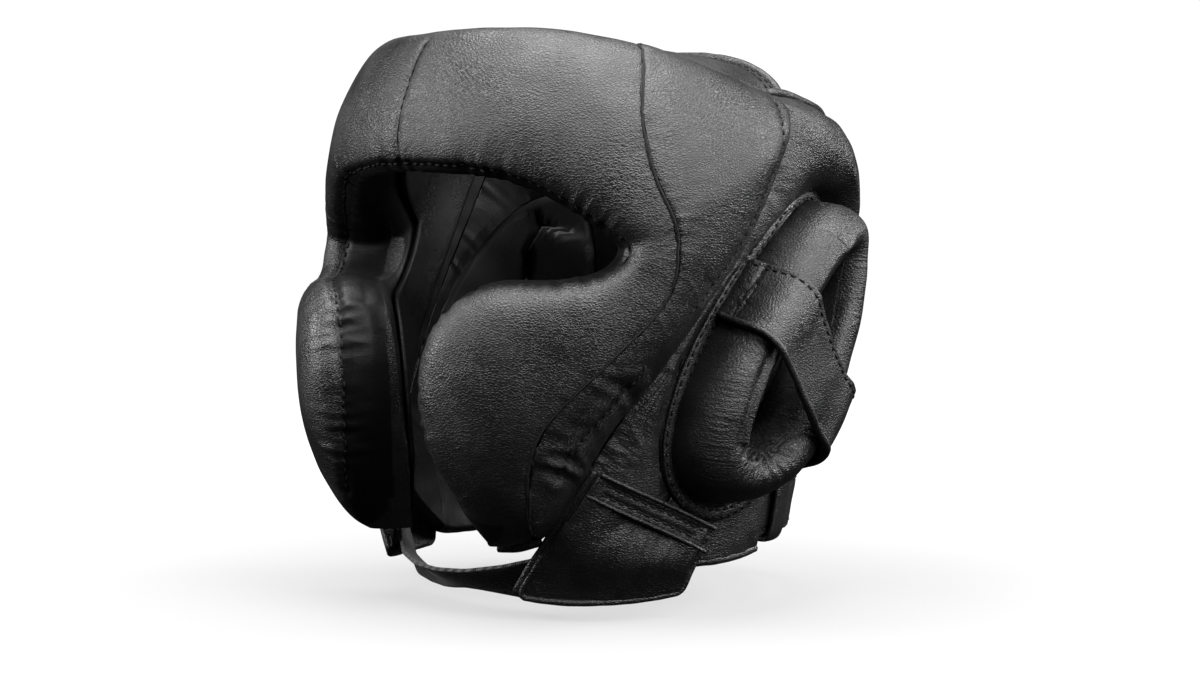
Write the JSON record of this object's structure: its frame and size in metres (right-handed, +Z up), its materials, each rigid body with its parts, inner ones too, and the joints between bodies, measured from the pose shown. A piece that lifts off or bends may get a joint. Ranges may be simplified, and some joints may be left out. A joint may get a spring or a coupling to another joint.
{
  "type": "head guard",
  "caption": "Padded black leather head guard for boxing, with an open face, stuffed cheeks and ear rings, straps at the back and over the crown, and a webbing chin strap.",
  "frame": {"origin": "middle of the head hollow, on the mid-plane, level with the ear holes: the place of the wearer's head, which holds the guard", "axes": "+Z up towards the crown, -Y the way the face looks, +X towards the wearer's left"},
  "size_m": [0.2388, 0.2522, 0.2332],
  "materials": {
    "leather": "pebbled black cowhide, semi-matt",
    "lining": "smooth black lining leather, matt",
    "webbing": "black twill webbing"
  },
  "bodies": {
    "root": {"front_pad": "leather", "front_lining": "lining", "temple_pad_left": "leather", "temple_pad_right": "leather", "side_panel_left": "leather", "side_panel_right": "leather", "ear_base_left": "leather", "ear_base_right": "leather", "ear_ring_left": "leather", "ear_ring_right": "leather", "lower_panel_left": "leather", "lower_panel_right": "leather", "ear_band_left": "leather", "ear_band_right": "leather", "chin_tab_left": "leather", "chin_tab_right": "leather", "chin_anchor_left": "leather", "chin_anchor_right": "leather", "chin_strap": "webbing", "crown_strap": "leather", "rear_strap": "leather", "nape_strap": "leather", "nape_keeper": "leather", "rear_binding_left": "leather", "rear_binding_right": "leather", "cheek_binding_left": "leather", "cheek_binding_right": "leather"}
  },
  "joints": []
}
